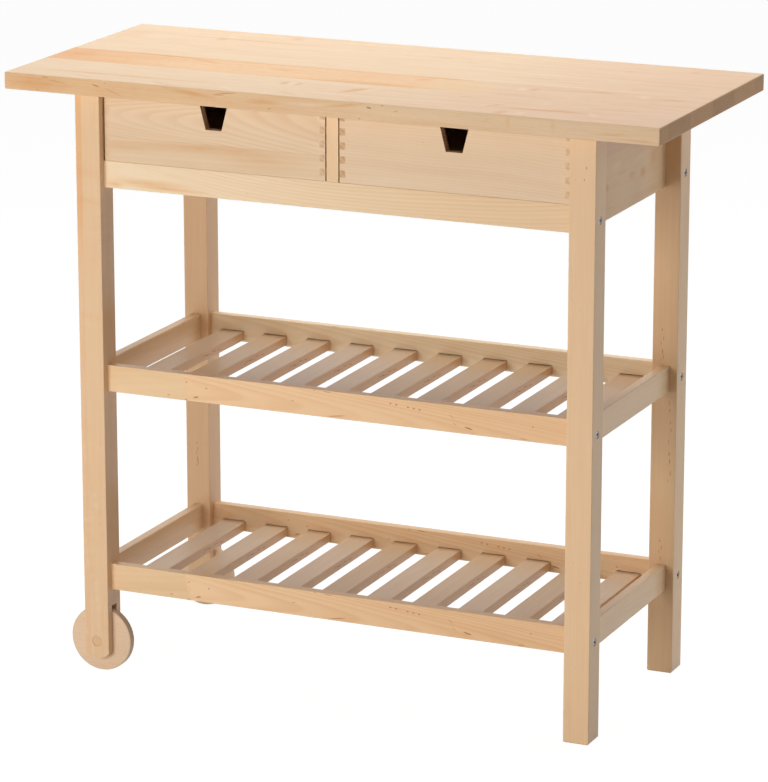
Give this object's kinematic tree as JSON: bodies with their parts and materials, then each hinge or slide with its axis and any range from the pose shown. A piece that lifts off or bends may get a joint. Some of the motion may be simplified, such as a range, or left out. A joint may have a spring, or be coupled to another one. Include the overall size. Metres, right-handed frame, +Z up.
{
  "type": "kitchen trolley",
  "caption": "Wooden kitchen trolley with an overhanging worktop, drawers that pull out to the front or the rear, slatted open shelves and wheels under one end.",
  "frame": {"origin": "on the floor, under the middle of the worktop", "axes": "+X along the worktop from the wheels to the plain feet, +Y from the front to the rear, +Z up"},
  "size_m": [1, 0.43, 0.9],
  "materials": {
    "worktop_birch": "satin clear lacquer over edge-glued birch staves",
    "leg_birch": "satin clear lacquer over solid birch",
    "rail_birch": "satin clear lacquer over solid birch",
    "slat_birch": "satin clear lacquer over solid birch",
    "drawer_birch": "satin clear lacquer over solid birch",
    "drawer_bottom_ply": "thin birch plywood",
    "runner_birch": "planed birch, waxed",
    "wheel_ply": "birch plywood, clear lacquer",
    "dowel_birch": "turned birch",
    "zinc_steel": "zinc-plated steel"
  },
  "bodies": {
    "trolley_frame": {"cam_bolts": "zinc_steel", "cam_locks": "zinc_steel", "drawer_divider": "rail_birch", "drawer_runner_centre": "runner_birch", "drawer_runner_left": "runner_birch", "drawer_runner_right": "runner_birch", "end_panel_left": "rail_birch", "end_panel_right": "rail_birch", "frame_bolts": "zinc_steel", "leg_front_left": "leg_birch", "leg_front_right": "leg_birch", "leg_rear_left": "leg_birch", "leg_rear_right": "leg_birch", "lower_rail_front": "rail_birch", "lower_rail_left": "rail_birch", "lower_rail_rear": "rail_birch", "lower_rail_right": "rail_birch", "lower_slat_01": "slat_birch", "lower_slat_02": "slat_birch", "lower_slat_03": "slat_birch", "lower_slat_04": "slat_birch", "lower_slat_05": "slat_birch", "lower_slat_06": "slat_birch", "lower_slat_07": "slat_birch", "lower_slat_08": "slat_birch", "lower_slat_09": "slat_birch", "lower_slat_10": "slat_birch", "middle_rail_front": "rail_birch", "middle_rail_left": "rail_birch", "middle_rail_rear": "rail_birch", "middle_rail_right": "rail_birch", "middle_slat_01": "slat_birch", "middle_slat_02": "slat_birch", "middle_slat_03": "slat_birch", "middle_slat_04": "slat_birch", "middle_slat_05": "slat_birch", "middle_slat_06": "slat_birch", "middle_slat_07": "slat_birch", "middle_slat_08": "slat_birch", "middle_slat_09": "slat_birch", "middle_slat_10": "slat_birch", "runner_screws": "zinc_steel", "table_top": "worktop_birch", "threaded_inserts": "zinc_steel", "upper_rail_front": "rail_birch", "upper_rail_rear": "rail_birch", "wheel_axles": "dowel_birch", "wood_dowels": "dowel_birch"},
    "drawer_left": {"drawer_left_back": "drawer_birch", "drawer_left_bottom": "drawer_bottom_ply", "drawer_left_front": "drawer_birch", "drawer_left_inner_side": "drawer_birch", "drawer_left_outer_side": "drawer_birch"},
    "drawer_right": {"drawer_right_back": "drawer_birch", "drawer_right_bottom": "drawer_bottom_ply", "drawer_right_front": "drawer_birch", "drawer_right_inner_side": "drawer_birch", "drawer_right_outer_side": "drawer_birch"},
    "wheel_front": {"wheel_front": "wheel_ply"},
    "wheel_rear": {"wheel_rear": "wheel_ply"}
  },
  "joints": [
    {"name": "drawer_left_slide", "type": "slide", "parent": "trolley_frame", "child": "drawer_left", "axis": [0, -1, 0], "range_m": [-0.235, 0.235]},
    {"name": "drawer_right_slide", "type": "slide", "parent": "trolley_frame", "child": "drawer_right", "axis": [0, -1, 0], "range_m": [-0.235, 0.235]},
    {"name": "wheel_front_spin", "type": "hinge", "parent": "trolley_frame", "child": "wheel_front", "pos_m": [-0.3805, -0.17, 0.049], "axis": [0, -1, 0], "continuous": true},
    {"name": "wheel_rear_spin", "type": "hinge", "parent": "trolley_frame", "child": "wheel_rear", "pos_m": [-0.3805, 0.17, 0.049], "axis": [0, -1, 0], "continuous": true}
  ]
}
